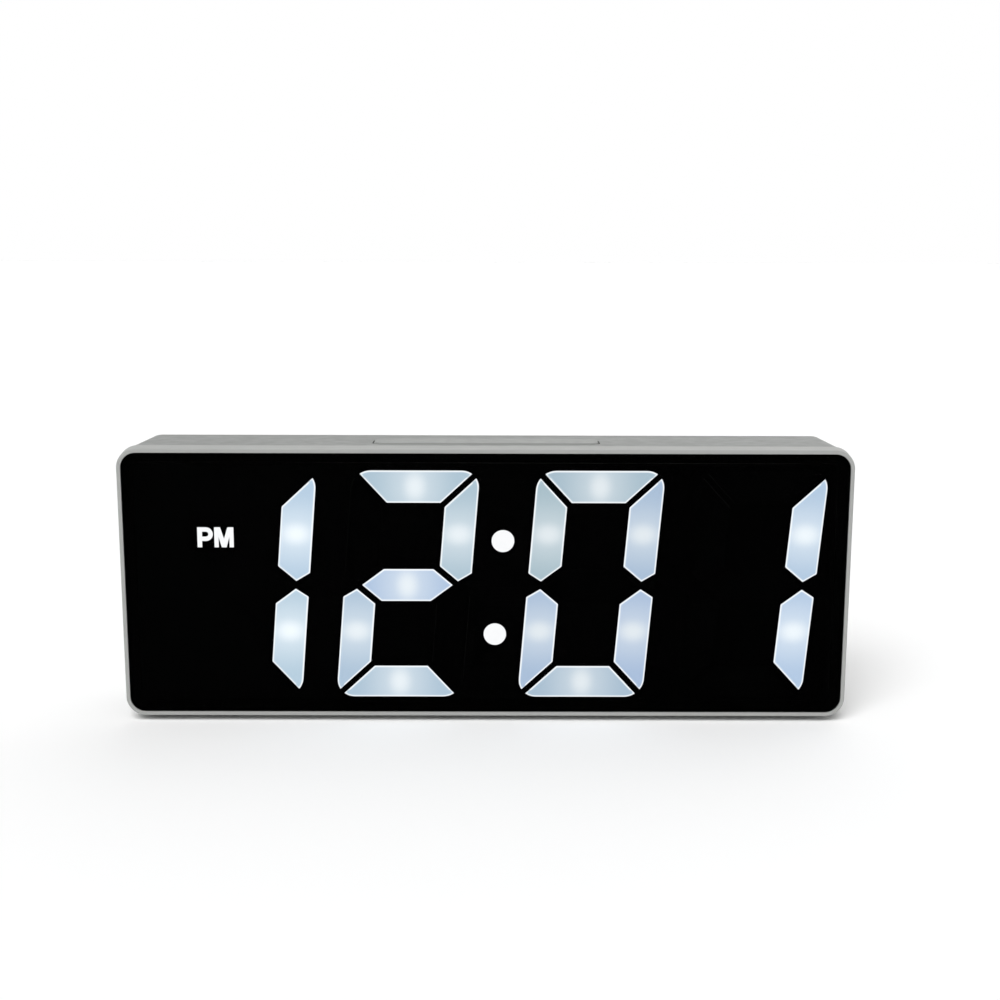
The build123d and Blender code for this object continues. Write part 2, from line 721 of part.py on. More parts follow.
# Snooze bar: the cap in the slot, a flange under the shell's top behind the board, a post to the switch
BAR_FRONT = SNOOZE_DEPTH - SNOOZE_W / 2
BAR_SLOPE = SHELL_DRAFT / (COVER_FRONT - RING_DEPTH)
BAR_TOP = LENS_H / 2 + SHELL_FRONT - BAR_SLOPE * (BAR_FRONT - RING_DEPTH) + SNOOZE_PROUD
CAP_LOW = BAR_TOP - SNOOZE_CAP_T
FLANGE_TOP = IN_HALF_H - KEY_REST_GAP
FLANGE_LOW = FLANGE_TOP - SNOOZE_FLANGE_T
FLANGE_FRONT = BOARD_BACK + 2 * KEY_GAP
BAR_BACK = SNOOZE_DEPTH + SNOOZE_W / 2
NECK_BACK = BAR_BACK - KEY_GAP
FLANGE_BACK = BAR_BACK + SNOOZE_FLANGE_OUT
SNOOZE_SWITCH_DEPTH = BOARD_BACK + SNOOZE_SWITCH_T / 2
SNOOZE_SWITCH_TOP = IN_HALF_H - SNOOZE_DROP
SNOOZE_PLUNGER_TOP = SNOOZE_SWITCH_TOP + PLUNGER_OUT

with BuildPart() as snooze_bar:
    with BuildSketch(Plane.XY.offset(FACE_Z + CAP_LOW)):
        with Locations((0, SNOOZE_Y)):
            RectangleRounded(SNOOZE_L, SNOOZE_W, SNOOZE_R)
    extrude(amount=SNOOZE_CAP_T)
    fillet(snooze_bar.faces().sort_by(Axis.Z)[-1].edges(), SNOOZE_EDGE_R)
    with BuildSketch(Plane.XY.offset(FACE_Z + FLANGE_LOW)):
        with Locations((0, FRONT_Y + (FLANGE_FRONT + FLANGE_BACK) / 2)):
            Rectangle(SNOOZE_L + 2 * SNOOZE_FLANGE_OUT, FLANGE_BACK - FLANGE_FRONT)
    extrude(amount=SNOOZE_FLANGE_T)
    with BuildSketch(Plane.XY.offset(FACE_Z + FLANGE_TOP)):
        with Locations((0, FRONT_Y + (FLANGE_FRONT + NECK_BACK) / 2)):
            Rectangle(SNOOZE_L - 2 * SNOOZE_R, NECK_BACK - FLANGE_FRONT)
    extrude(amount=CAP_LOW - FLANGE_TOP)
    with BuildSketch(Plane.XY.offset(FACE_Z + SNOOZE_PLUNGER_TOP)):
        with Locations((0, FRONT_Y + SNOOZE_SWITCH_DEPTH)):
            Rectangle(SNOOZE_POST, SNOOZE_POST_T)
    extrude(amount=FLANGE_LOW - SNOOZE_PLUNGER_TOP)
save(snooze_bar, "snooze_bar")

# Snooze switch on the back of the display board, with its plunger pointing up
with BuildPart() as snooze_switch:
    with BuildSketch(Plane.XY.offset(FACE_Z + SNOOZE_SWITCH_TOP)):
        with Locations((0, FRONT_Y + SNOOZE_SWITCH_DEPTH)):
            Rectangle(SNOOZE_SWITCH_W, SNOOZE_SWITCH_T)
    extrude(amount=-SNOOZE_SWITCH_H)
    with BuildSketch(Plane.XY.offset(FACE_Z + SNOOZE_SWITCH_TOP)):
        with Locations((0, FRONT_Y + SNOOZE_SWITCH_DEPTH)):
            Circle(SNOOZE_PLUNGER_D / 2 + PLUNGER_FIT)
    extrude(amount=-(PLUNGER_IN + SNOOZE_TRAVEL + PLUNGER_FIT), mode=Mode.SUBTRACT)
save(snooze_switch, "snooze_switch")

with BuildPart() as snooze_plunger:
    with BuildSketch(Plane.XY.offset(FACE_Z + SNOOZE_PLUNGER_TOP)):
        with Locations((0, FRONT_Y + SNOOZE_SWITCH_DEPTH)):
            Circle(SNOOZE_PLUNGER_D / 2)
    extrude(amount=-(PLUNGER_OUT + PLUNGER_IN))
save(snooze_plunger, "snooze_plunger")

# Rear cover: a shallow tray with rounded edges, the battery bay, posts for the key board and openings
with BuildPart() as rear_cover:
    with BuildSketch(front_plane(COVER_FRONT)):
        outline(SHELL_REAR)
    extrude(amount=-COVER_RIM)
    fillet(rear_cover.faces().sort_by(Axis.Y)[-1].edges(), COVER_EDGE_R)
    chamfer(rear_cover.faces().sort_by(Axis.Y)[0].edges(), SEAM_BREAK)
    with BuildSketch(front_plane(COVER_FRONT)):
        outline(SHELL_IN)
    extrude(amount=-(COVER_RIM - COVER_T), mode=Mode.SUBTRACT)
    with BuildSketch(front_plane(COVER_IN)):
        outline(SHELL_IN - FIT)
        outline(SHELL_IN - FIT - LIP_T, mode=Mode.SUBTRACT)
    extrude(amount=LIP_L)
    with BuildSketch(front_plane(COVER_IN)):
        with Locations(*BOSS_PLACES):
            Circle(BOSS_D / 2)
    extrude(amount=COVER_IN - BOSS_END)
    with BuildSketch(front_plane(COVER_IN)):
        with Locations(*POST_PLACES):
            Circle(POST_D / 2)
    extrude(amount=COVER_IN - KEY_BOARD_BACK)
    with BuildSketch(front_plane(KEY_BOARD_BACK)):
        with Locations(*POST_PLACES):
            Circle(KEY_SCREW_D / 2 + SCREW_FIT)
    extrude(amount=-(KEY_SCREW_L + SCREW_PLAY), mode=Mode.SUBTRACT)
    with BuildSketch(front_plane(COVER_IN)):
        with Locations((BAY_X, 0)):
            Rectangle(BAY_L + 2 * BAY_WALL, BAY_H + 2 * BAY_WALL)
    extrude(amount=COVER_IN - BAY_FLOOR + BAY_WALL)
    with BuildSketch(front_plane(CASE_DEPTH)):
        with Locations((BAY_X, 0)):
            Rectangle(BAY_L, BAY_H)
    extrude(amount=CASE_DEPTH - BAY_FLOOR, mode=Mode.SUBTRACT)
    with BuildSketch(front_plane(CASE_DEPTH)):
        with Locations((BAY_X, 0)):
            RectangleRounded(DOOR_L + 2 * DOOR_GAP, DOOR_H + 2 * DOOR_GAP, DOOR_GAP)
    extrude(amount=CASE_DEPTH - DOOR_SEAT, mode=Mode.SUBTRACT)
    with BuildSketch(front_plane(CASE_DEPTH)):
        with Locations((BAY_X, DOOR_TOP)):
            Circle(NOTCH_R)
    extrude(amount=NOTCH_DEPTH, mode=Mode.SUBTRACT)
    with BuildSketch(Plane.YZ.offset(BAY_X - DOOR_L / 2 - PIN_OUT - PIN_END)):
        with Locations((HINGE_Y, HINGE_Z)):
            Circle(PIN_R + PIN_FIT)
    extrude(amount=DOOR_L + 2 * (PIN_OUT + PIN_END), mode=Mode.SUBTRACT)
    with BuildSketch(front_plane(CASE_DEPTH)):
        with Locations(*BOSS_PLACES):
            Circle(SCREW_HEAD_D / 2 + SCREW_PLAY)
    extrude(amount=SCREW_SINK, mode=Mode.SUBTRACT)
    with BuildSketch(front_plane(CASE_DEPTH)):
        with Locations(*BOSS_PLACES):
            Circle(SCREW_D / 2 + SCREW_PLAY)
        with Locations(*[(x, KEY_Z) for x in KEY_XS]):
            Circle(KEY_D / 2 + KEY_GAP)
        with Locations((USB_X, USB_Z)):
            RectangleRounded(USB_W + 2 * USB_GAP, USB_H + 2 * USB_GAP, USB_R + USB_GAP)
        with Locations((BUZZER_X, BUZZER_Z)):
            with GridLocations(SOUND_PITCH, 1, SOUND_SLOTS, 1):
                SlotOverall(SOUND_SLOT_L, SOUND_SLOT_W, rotation=90)
    extrude(amount=CASE_DEPTH - BOSS_END, mode=Mode.SUBTRACT)
    for side, z in ((1, CELL_ZS[0]), (-1, CELL_ZS[-1])):
        with BuildSketch(Plane.YZ.offset(BAY_X + side * BAY_L / 2)):
            with Locations((FRONT_Y + LEAD_DEPTH, FACE_Z + z)):
                Circle(LEAD_D / 2 + LEAD_HOLE_GAP)
        extrude(amount=side * BAY_WALL, mode=Mode.SUBTRACT)
save(rear_cover, "rear_cover")

# Screws through the rear cover into the shell's bosses, with a cross in each head
HEAD_BACK = CASE_DEPTH - SCREW_SINK + SCREW_HEAD_T
with BuildPart() as cover_screws:
    with BuildSketch(front_plane(HEAD_BACK)):
        with Locations(*BOSS_PLACES):
            Circle(SCREW_HEAD_D / 2)
    extrude(amount=SCREW_HEAD_T)
    with BuildSketch(front_plane(CASE_DEPTH - SCREW_SINK)):
        with Locations(*BOSS_PLACES):
            Circle(SCREW_D / 2)
    extrude(amount=CASE_DEPTH - SCREW_SINK - BOSS_END + SCREW_L)
    with BuildSketch(front_plane(HEAD_BACK)):
        with Locations(*BOSS_PLACES):
            Rectangle(DRIVE_L, DRIVE_W)
            Rectangle(DRIVE_W, DRIVE_L)
    extrude(amount=DRIVE_DEPTH, mode=Mode.SUBTRACT)
save(cover_screws, "cover_screws")

# Key board: carries the key switches, the power inlet and the sounder
with BuildPart() as key_board:
    with BuildSketch(front_plane(KEY_BOARD_FRONT)):
        with Locations((KEY_X, 0)):
            Rectangle(KEY_BOARD_W, KEY_BOARD_H)
        with Locations(*POST_PLACES):
            Circle(KEY_SCREW_D / 2 + SCREW_PLAY, mode=Mode.SUBTRACT)
    extrude(amount=-BOARD_T)
save(key_board, "key_board")

with BuildPart() as key_board_screws:
    with BuildSketch(front_plane(KEY_BOARD_FRONT)):
        with Locations(*POST_PLACES):
            Circle(KEY_HEAD_D / 2)
    extrude(amount=KEY_HEAD_T)
    with BuildSketch(front_plane(KEY_BOARD_FRONT)):
        with Locations(*POST_PLACES):
            Circle(KEY_SCREW_D / 2)
    extrude(amount=-(BOARD_T + KEY_SCREW_L))
save(key_board_screws, "key_board_screws")

with BuildPart() as key_switches:
    with BuildSketch(front_plane(KEY_BOARD_BACK)):
        with Locations(*[(x, KEY_Z) for x in KEY_XS]):
            Rectangle(SWITCH_W, SWITCH_W)
    extrude(amount=-SWITCH_T)
    with BuildSketch(front_plane(SWITCH_TOP)):
        with Locations(*[(x, KEY_Z) for x in KEY_XS]):
            Circle(PLUNGER_D / 2 + PLUNGER_FIT)
    extrude(amount=PLUNGER_IN + KEY_TRAVEL + PLUNGER_FIT, mode=Mode.SUBTRACT)
save(key_switches, "key_switches")

# Keys: a round cap through the cover, a flange that keeps it in and a stem on the switch's plunger
for key_name, key_x in zip(KEY_NAMES, KEY_XS):
    with BuildPart() as key:
        with BuildSketch(front_plane(KEY_FLANGE_BACK)):
            with Locations((key_x, KEY_Z)):
                Circle(KEY_D / 2)
        extrude(amount=-(CASE_DEPTH + KEY_PROUD - KEY_FLANGE_BACK))
        fillet(key.faces().sort_by(Axis.Y)[-1].edges(), KEY_EDGE_R)
        with BuildSketch(front_plane(KEY_FLANGE_BACK)):
            with Locations((key_x, KEY_Z)):
                Circle(KEY_FLANGE_D / 2)
        extrude(amount=KEY_FLANGE_T)
        with BuildSketch(front_plane(KEY_FLANGE_BACK - KEY_FLANGE_T)):
            with Locations((key_x, KEY_Z)):
                Circle(KEY_STEM_D / 2)
        extrude(amount=KEY_FLANGE_BACK - KEY_FLANGE_T - PLUNGER_TOP)
    save(key, f"{key_name}_key")
    with BuildPart() as plunger:
        with BuildSketch(front_plane(PLUNGER_TOP)):
            with Locations((key_x, KEY_Z)):
                Circle(PLUNGER_D / 2)
        extrude(amount=PLUNGER_OUT + PLUNGER_IN)
    save(plunger, f"{key_name}_plunger")

# Power inlet: a metal shell standing on the key board, with its contact tongue inside
USB_MOUTH = CASE_DEPTH - USB_SINK
with BuildPart() as usb_shell:
    with BuildSketch(front_plane(KEY_BOARD_BACK)):
        with Locations((USB_X, USB_Z)):
            RectangleRounded(USB_W, USB_H, USB_R)
            RectangleRounded(
                USB_W - 2 * USB_WALL, USB_H - 2 * USB_WALL, USB_R - USB_WALL, mode=Mode.SUBTRACT
            )
    extrude(amount=-(USB_MOUTH - KEY_BOARD_BACK))
save(usb_shell, "usb_shell")

with BuildPart() as usb_tongue:
    with BuildSketch(front_plane(KEY_BOARD_BACK)):
        with Locations((USB_X, USB_Z)):
            RectangleRounded(USB_W - 2 * USB_WALL, USB_H - 2 * USB_WALL, USB_R - USB_WALL)
    extrude(amount=-USB_BASE_T)
    with BuildSketch(front_plane(KEY_BOARD_BACK + USB_BASE_T)):
        with Locations((USB_X, USB_Z)):
            Rectangle(USB_TONGUE_W, USB_TONGUE_T)
    extrude(amount=-(USB_MOUTH - USB_TONGUE_SINK - KEY_BOARD_BACK - USB_BASE_T))
save(usb_tongue, "usb_tongue")

# Sounder: a round can with a sound hole, behind the cover's slots
with BuildPart() as buzzer:
    with BuildSketch(front_plane(KEY_BOARD_BACK)):
        with Locations((BUZZER_X, BUZZER_Z)):
            Circle(BUZZER_D / 2)
    extrude(amount=-BUZZER_T)
    with BuildSketch(front_plane(KEY_BOARD_BACK + BUZZER_T)):
        with Locations((BUZZER_X, BUZZER_Z)):
            Circle(BUZZER_HOLE_D / 2)
    extrude(amount=BUZZER_HOLE_DEPTH, mode=Mode.SUBTRACT)
save(buzzer, "buzzer")

# Battery door: a plate with a round foot that turns on two pins in the cover, and grip ridges
with BuildPart() as battery_door:
    with BuildSketch(Plane.YZ.offset(BAY_X - DOOR_L / 2)):
        with Locations((HINGE_Y, HINGE_Z)):
            Circle(DOOR_T / 2)
            Rectangle(DOOR_T, DOOR_H - DOOR_T / 2, align=(Align.CENTER, Align.MIN))
    extrude(amount=DOOR_L)
    fillet(battery_door.edges().filter_by(Axis.Y).group_by(Axis.Z)[-1], DOOR_R)
    with BuildSketch(Plane.YZ.offset(BAY_X - DOOR_GRIP_L / 2)):
        for n in range(DOOR_GRIPS):
            grip_z = FACE_Z + DOOR_TOP - NOTCH_R - n * DOOR_GRIP_PITCH
            with Locations((HINGE_Y + DOOR_T / 2, grip_z)):
                Circle(DOOR_GRIP_R)
    extrude(amount=DOOR_GRIP_L, mode=Mode.SUBTRACT)
    with BuildSketch(Plane.YZ.offset(BAY_X - DOOR_L / 2 - PIN_OUT)):
        with Locations((HINGE_Y, HINGE_Z)):
            Circle(PIN_R)
    extrude(amount=DOOR_L + 2 * PIN_OUT)
save(battery_door, "battery_door")

# Cells: three lying side by side, turned end for end
NUB_REACH = BAY_L / 2 - CONTACT_T - CELL_PLAY
with BuildPart() as battery_cells:
    for turn, z in zip(CELL_TURNS, CELL_ZS):
        with BuildSketch(Plane.YZ.offset(BAY_X + turn * (NUB_REACH - CELL_L))):
            with Locations((FRONT_Y + CELL_DEPTH, FACE_Z + z)):
                Circle(CELL_D / 2)
        extrude(amount=turn * (CELL_L - CELL_NUB_L))
    fillet(battery_cells.edges().filter_by(GeomType.CIRCLE), CELL_EDGE_R)
    for turn, z in zip(CELL_TURNS, CELL_ZS):
        with BuildSketch(Plane.YZ.offset(BAY_X + turn * (NUB_REACH - CELL_NUB_L))):
            with Locations((FRONT_Y + CELL_DEPTH, FACE_Z + z)):
                Circle(CELL_NUB_D / 2)
        extrude(amount=turn * CELL_NUB_L)
save(battery_cells, "battery_cells")


def contact_plate(side, low, high):
    """A flat strip against one end of the bay, from the lowest to the highest cell that it touches."""
    with BuildSketch(Plane.YZ.offset(BAY_X + side * BAY_L / 2)) as strip:
        with Locations((FRONT_Y + CELL_DEPTH, FACE_Z + (low + high) / 2)):
            Rectangle(CONTACT_W, high - low + CONTACT_W)
    extrude(strip.sketch, amount=-side * CONTACT_T)


def contact_leaf(side, z):
    """A bent leaf that rises from the strip to a cell's flat end and folds back."""
    root = BAY_X + side * (BAY_L / 2 - CONTACT_T / 2)
    tip = BAY_X + side * (BAY_L / 2 - LEAF_REACH + CONTACT_T / 2)
    back = BAY_X + side * (BAY_L / 2 - LEAF_BACK)
    middle = FRONT_Y + CELL_DEPTH
    with BuildSketch(Plane.XY.offset(FACE_Z + z - LEAF_W / 2)) as leaf:
        with BuildLine():
            Polyline((root, middle - LEAF_BASE), (tip, middle), (back, middle + LEAF_BASE))
        trace(line_width=CONTACT_T)
    extrude(leaf.sketch, amount=LEAF_W)


# Linking contacts: each joins the nub of one cell to the flat end of the next
with BuildPart() as link_contacts:
    for n in range(CELL_COUNT - 1):
        contact_plate(CELL_TURNS[n + 1], CELL_ZS[n], CELL_ZS[n + 1])
        contact_leaf(CELL_TURNS[n + 1], CELL_ZS[n])
save(link_contacts, "link_contacts")

# End contacts: one plate and one leaf, where the two leads start
with BuildPart() as end_contacts:
    contact_plate(CELL_TURNS[0], CELL_ZS[0], CELL_ZS[0])
    contact_plate(-CELL_TURNS[-1], CELL_ZS[-1], CELL_ZS[-1])
    contact_leaf(-CELL_TURNS[-1], CELL_ZS[-1])
save(end_contacts, "end_contacts")


def lead(label, points):
    """A round wire through points on the bay's lead plane, with every corner rounded."""
    with BuildPart() as wire:
        route = [(x, FRONT_Y + LEAD_DEPTH, FACE_Z + z) for x, z in points]
        with BuildLine() as path:
            FilletPolyline(*route, radius=LEAD_BEND)
        with BuildSketch(Plane(origin=path.line @ 0, z_dir=path.line % 0)):
            Circle(LEAD_D / 2)
        sweep()
    save(wire, label)


BAY_RIGHT = BAY_X + BAY_L / 2
BAY_LEFT = BAY_X - BAY_L / 2
LEAD_HIGH = BAY_H / 2 + BAY_WALL + LEAD_OUT
LEAD_DROP = (BAY_RIGHT + BAY_WALL + LEAD_PAD_X) / 2
lead("plus_lead", [
    (BAY_RIGHT, CELL_ZS[0]),
    (LEAD_DROP, CELL_ZS[0]),
    (LEAD_DROP, 0),
    (LEAD_PAD_X, 0),
])
lead("minus_lead", [
    (BAY_LEFT, CELL_ZS[-1]),
    (BAY_LEFT - BAY_WALL - LEAD_OUT, CELL_ZS[-1]),
    (BAY_LEFT - BAY_WALL - LEAD_OUT, LEAD_HIGH),
    (LEAD_DROP, LEAD_HIGH),
    (LEAD_DROP, CELL_ZS[-1]),
    (LEAD_PAD_X, CELL_ZS[-1]),
])
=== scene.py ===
import json
from math import asin, cos, degrees, pi, radians, sqrt, tan

import bpy
import numpy as np
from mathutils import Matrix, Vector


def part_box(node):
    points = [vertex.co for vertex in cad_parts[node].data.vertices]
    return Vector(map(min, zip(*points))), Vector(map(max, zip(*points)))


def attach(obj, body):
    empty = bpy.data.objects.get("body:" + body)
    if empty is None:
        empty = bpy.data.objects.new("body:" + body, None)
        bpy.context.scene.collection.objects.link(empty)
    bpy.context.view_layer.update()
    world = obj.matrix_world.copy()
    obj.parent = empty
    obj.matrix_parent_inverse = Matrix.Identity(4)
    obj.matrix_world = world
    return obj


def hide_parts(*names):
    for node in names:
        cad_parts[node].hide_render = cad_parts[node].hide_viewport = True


# Looks of a free-standing LED desk clock. X runs to the right, Y to the rear, Z up.
# Lengths below are in millimetres, and become metres when a mesh or a material is made.

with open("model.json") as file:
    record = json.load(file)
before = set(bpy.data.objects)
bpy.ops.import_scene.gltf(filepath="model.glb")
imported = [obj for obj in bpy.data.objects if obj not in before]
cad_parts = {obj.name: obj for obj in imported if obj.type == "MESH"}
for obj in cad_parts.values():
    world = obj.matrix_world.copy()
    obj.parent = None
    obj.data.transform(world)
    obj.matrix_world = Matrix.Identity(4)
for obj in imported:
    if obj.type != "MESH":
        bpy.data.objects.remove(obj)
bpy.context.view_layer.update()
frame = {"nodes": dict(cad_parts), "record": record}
nodes = frame["nodes"]
MM = 0.001

# The lens's corner and the display's layout, as in the solids
LENS_R = 3.2
LEFT_MARGIN = 12.0
RIGHT_MARGIN = 6.15
TOP_MARGIN = 3.8
LOW_MARGIN = 2.9
DIGIT_GAP = 7.6
COLON_GAP = 12.4
DIGIT_R = 4.1
STROKE = 7.15
MID_STROKE = 7.25
SEG_GAP = 1.3
KNEE = 2.9
KNEE_IN = 38.5
KNEE_OUT = 32.0
SLANT = 4.7
DOT_D = 5.0
DOT_IN_TOP = 15.6
DOT_IN_LOW = 14.4
DIFFUSER_T = 1.4
DIFFUSER_FIT = 0.05
DIFFUSER_AIR = 0.04
CORNER_POINTS = 9
DOT_POINTS = 64

# Shape of a diffuser's front: rounded edge, white rim, and the last ring before the point over the lamp
EDGE_ROUND = 0.1
RIM_FULL = 0.16
RIM_IN = 0.42
FAN_IN = 1.0
POLE_EDGE = 3.0

# Light in a diffuser: a small bright spot in a wide glow, both narrower along the bar than across it
SPOT_ABOVE = 11.4
SPOT_BELOW = 10.4
SPOT_REACH = 3.9
SPOT_SHARE = 0.46
GLOW_REACH = 10.5
GLOW_SHARE = 0.45
ACROSS_SHARE = 0.75
RIM_SHARE = 0.85
RIM_GAIN = 9.0
BODY_GREENER = (0.45, 0.585, 0.655)
BODY_BLUER = (0.455, 0.585, 0.80)
SPOT_WHITE = (0.90, 0.965, 1.0)
RIM_WHITE = (0.95, 0.975, 1.0)
WINDOW_WHITE = (0.875, 0.89, 0.9)
WINDOW_WHITEST = (0.915, 0.92, 0.925)
UNLIT = (0.003, 0.003, 0.003)
UNLIT_PALER = (0.0045, 0.0045, 0.0045)
DIFFUSER_SHINE = 0.02

# Letters of the afternoon indicator and the film that they are cleared from
LETTER_H = 4.45
LETTER_IN = 1.0
LETTER_UP = 0.85
LETTER_STEM = 1.0
LETTER_SPACE = 0.3
LETTER_T = 0.06
FILM_T = 0.1
P_W = 3.4
P_BOWL = 3.05
P_POINTS = 13
P_CUT = 0.005
P_COUNTER_IN = 0.05
BOWL_STROKE = 0.98
M_W = 4.2
M_STEM = 0.92 * LETTER_STEM
M_SHOULDER = 1.42 * M_STEM
M_FOOT = 0.52
M_CROTCH = 0.53 * LETTER_H
M_VALLEY = 0.42 * LETTER_H

# The lens lets through this share of what is behind it, in two surfaces
LENS_THROUGH = 0.22
LENS_ALPHA = 1 - sqrt(LENS_THROUGH)
LENS_SHINE = 0.008
LENS_BLACK = (0.0002, 0.0002, 0.0002)
LENS_HAZE = (0.0004, 0.0004, 0.0004)
LAMP_POWER = 1.07 / LENS_THROUGH

# Case plastics: their greys, their shine, and the sizes of their drift, gloss patches and grain
BEZEL_GREY = (0.355, 0.36, 0.35)
SHELL_GREY = (0.209, 0.216, 0.208)
# The key takes the shell's grey made lighter by this share: a painted highlight
KEY_PAINTED_HIGHLIGHT = 1.2
MASK_BLACK = (0.003, 0.003, 0.003)
CASE_SHINE = 0.08
MASK_SHINE = 0.02
DRIFT_SIZE = 22.0
GLOSS_SIZE = 3.0
GLOSS_CHANGE = 0.05
GRAIN_SIZE = 0.18
BEZEL_DRIFT = 0.04
BEZEL_GRAIN = 0.006

# Painted shade behind the lens: how far past its outline and its front the bezel's painted black begins, and
# the reflector's print
PAINTED_SHADE_OUT = 0.25
PAINTED_SHADE_IN = 0.1
PRINT_DEPTH = 0.05

# Metals, board and cells
SCRATCH_SIZE = 0.25
SCRATCH_DEPTH = 0.01
TARNISH_SIZE = 1.6
TARNISH = 0.88
RUN_W = 0.25
RUN_L = 7.0
RUN_PITCH = 2.2
RUN_DEPTH = 0.03
BOARD_GREEN = (0.012, 0.085, 0.03)
RUN_GREEN = (0.03, 0.17, 0.06)
MIDDLE_CELL = 5.5
BAND_FROM = 9.0
SLEEVE_HALF = 21.4
SLEEVE_BLUE = (0.02, 0.045, 0.09)
BAND_CREAM = (0.52, 0.5, 0.46)
CELL_METAL = (0.6, 0.6, 0.6)

# Floor, in metres, and light: azimuth 0 is in front, and angles are in degrees
FLOOR_HALF = 12.0
FLOOR_TONE = (0.97, 0.97, 0.97)
FLOOR_DRIFT = 0.995
FLOOR_DRIFT_SIZE = 900.0
FLOOR_LIFT = 0.01
AMBIENT = 0.36
FRONT_LIGHT = {"azimuth": -18.0, "elevation": 52.0, "strength": 0.76, "width": 40.0}
REAR_LIGHT = {"azimuth": 160.0, "elevation": 42.0, "strength": 0.15, "width": 60.0}

# Camera, in metres and degrees, fitted to the lens's corners
CAMERA_PLACE = (0.002094, -0.312385, 0.103177)
CAMERA_TURN = (79.884, -0.165, -0.157)
CAMERA_LENS = 50.4
CAMERA_SENSOR = 36.0

# Worked out from the lens's box and the layout
lens_low, lens_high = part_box("front_lens")
LENS_W = (lens_high.x - lens_low.x) / MM
LENS_H = (lens_high.z - lens_low.z) / MM
FACE_Z = (lens_high.z + lens_low.z) / 2 / MM
LENS_BACK = lens_high.y / MM
HALF_W = (LENS_W - LEFT_MARGIN - RIGHT_MARGIN - 2 * DIGIT_GAP - COLON_GAP) / 8
HALF_H = (LENS_H - TOP_MARGIN - LOW_MARGIN) / 2
MITRE = SEG_GAP / sqrt(2)
TIP_TURN = degrees(asin(SEG_GAP / 2 / DIGIT_R))
KNEE_Z = SEG_GAP / 2 / cos(radians(KNEE_IN))
DISPLAY_SHIFT = (LEFT_MARGIN - RIGHT_MARGIN) / 2
DISPLAY_DROP = (TOP_MARGIN - LOW_MARGIN) / 2
HOUR_UNITS_X = DISPLAY_SHIFT - COLON_GAP / 2 - HALF_W
MINUTE_TENS_X = DISPLAY_SHIFT + COLON_GAP / 2 + HALF_W
HOUR_TENS_X = HOUR_UNITS_X - 2 * HALF_W - DIGIT_GAP
MINUTE_UNITS_X = MINUTE_TENS_X + 2 * HALF_W + DIGIT_GAP
SIDE = HALF_W - STROKE / 2
BAR = HALF_H - STROKE / 2


# Steps that materials are made of

def new_finish(name):
    """A material with one Principled shader; returns the material, its tree and the shader."""
    finish = bpy.data.materials.new(name)
    finish.use_nodes = True
    tree = finish.node_tree
    tree.nodes.clear()
    output = tree.nodes.new("ShaderNodeOutputMaterial")
    shader = tree.nodes.new("ShaderNodeBsdfPrincipled")
    tree.links.new(shader.outputs[0], output.inputs["Surface"])
    return finish, tree, shader


def fill(tree, target, values):
    """Set or link the named inputs of one node."""
    for key, value in values.items():
        if isinstance(value, bpy.types.NodeSocket):
            tree.links.new(value, target.inputs[key])
        else:
            target.inputs[key].default_value = value


def add(tree, kind, values=None, **settings):
    """A new shader node with its settings and inputs."""
    made = tree.nodes.new("ShaderNode" + kind)
    for key, value in settings.items():
        setattr(made, key, value)
    fill(tree, made, values or {})
    return made


def place(tree):
    """Object coordinates, in metres."""
    return add(tree, "TexCoord").outputs["Object"]


def cloud(tree, size, detail=2.0, stretch=(1, 1, 1)):
    """Noise whose patches are about a size in millimetres, optionally drawn out along an axis."""
    scaled = add(tree, "Mapping", {"Vector": place(tree), "Scale": stretch}).outputs["Vector"]
    noise = add(tree, "TexNoise", {"Vector": scaled, "Scale": 1 / (size * MM), "Detail": detail})
    return noise.outputs["Fac"]


def spread(tree, value, low, high, start=0.3, end=0.7, curve="LINEAR"):
    """Map a value between two ends onto another range."""
    return add(
        tree, "MapRange",
        {"Value": value, "From Min": start, "From Max": end, "To Min": low, "To Max": high},
        interpolation_type=curve,
    ).outputs["Result"]


def tones(tree, factor, first, second):
    """Blend two colours by a factor."""
    made = add(tree, "Mix", data_type="RGBA")
    for index, value in ((0, factor), (6, first), (7, second)):
        if isinstance(value, bpy.types.NodeSocket):
            tree.links.new(value, made.inputs[index])
        else:
            made.inputs[index].default_value = (*value, 1)
    return made.outputs[2]


def maths(tree, operation, first, second=0.0):
    """One arithmetic step."""
    made = add(tree, "Math", operation=operation)
    fill(tree, made, {0: first, 1: second})
    return made.outputs[0]


def grain(tree, height, depth):
    """A bump normal from a height, with its depth in millimetres."""
    return add(tree, "Bump", {"Height": height, "Distance": depth * MM, "Strength": 1.0}).outputs["Normal"]


def shaded(tone, share):
    """A colour made lighter or darker by a share."""
    return tuple(part * share for part in tone)


# Finishes

def moulded(name, tone, rough, shine=0.5, sparkle=GRAIN_SIZE, depth=0.008, change=0.05):
    """Moulded plastic: slow tone drift, patchy gloss and a fine spark-eroded grain."""
    finish, tree, shader = new_finish(name)
    drift = cloud(tree, DRIFT_SIZE)
    gloss = cloud(tree, GLOSS_SIZE, 3.0)
    fill(tree, shader, {
        "Base Color": tones(tree, drift, shaded(tone, 1 - change), shaded(tone, 1 + change)),
        "Roughness": spread(tree, gloss, rough - GLOSS_CHANGE, rough + GLOSS_CHANGE),
        "Specular IOR Level": shine,
        "Normal": grain(tree, cloud(tree, sparkle, 1.0), depth),
    })
    return finish


def plated(name, tone, rough, stretch=(1, 1, 1)):
    """Bare or plated metal with fine drawn scratches."""
    finish, tree, shader = new_finish(name)
    fine = cloud(tree, SCRATCH_SIZE, 2.0, stretch)
    fill(tree, shader, {
        "Base Color": tones(tree, cloud(tree, TARNISH_SIZE), shaded(tone, TARNISH), tone),
        "Metallic": 1.0,
        "Roughness": spread(tree, fine, rough - 0.08, rough + 0.1),
        "Normal": grain(tree, fine, SCRATCH_DEPTH),
    })
    return finish


